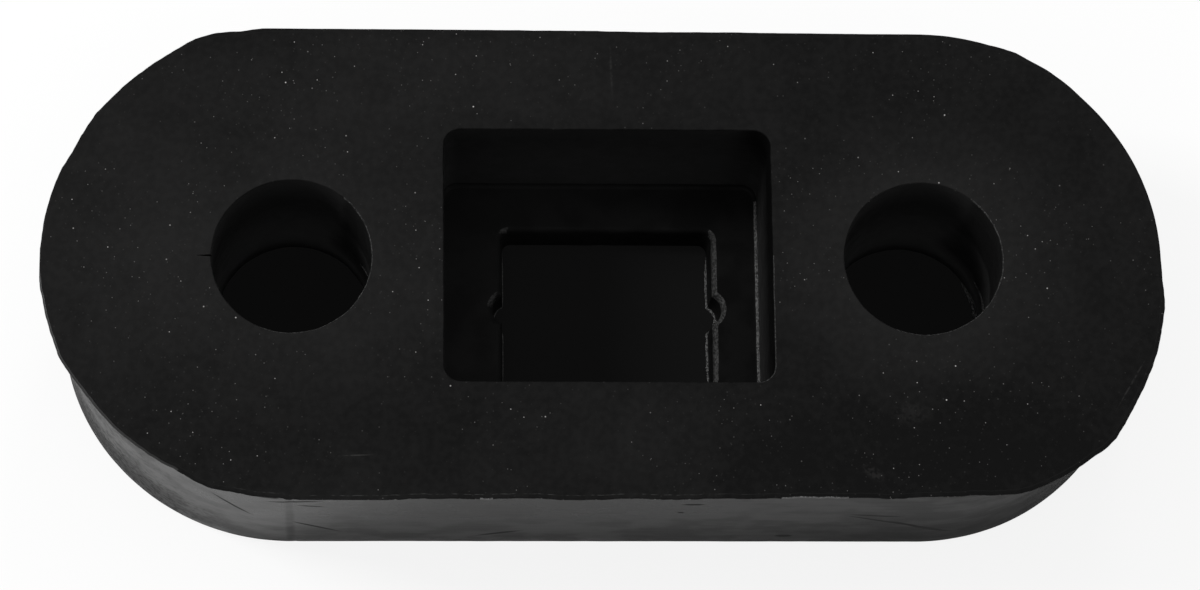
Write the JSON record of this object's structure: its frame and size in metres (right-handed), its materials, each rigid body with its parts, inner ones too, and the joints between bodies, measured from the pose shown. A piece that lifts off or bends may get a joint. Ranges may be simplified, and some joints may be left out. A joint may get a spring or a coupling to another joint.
{
  "type": "exhaust hanger",
  "caption": "Flat black rubber hanger block with round ends, a through eye near each end and a moulded pocket with a windowed web between them.",
  "frame": {"origin": "on the back face, midway between the two eyes", "axes": "+X along the block's length from eye to eye, +Y across its width, +Z out of the front face with the pocket"},
  "size_m": [0.0846, 0.0371, 0.0164],
  "materials": {
    "black_rubber": "matte moulded rubber with faint bloom and dust"
  },
  "bodies": {
    "root": {"hanger_body": "black_rubber"}
  },
  "joints": []
}
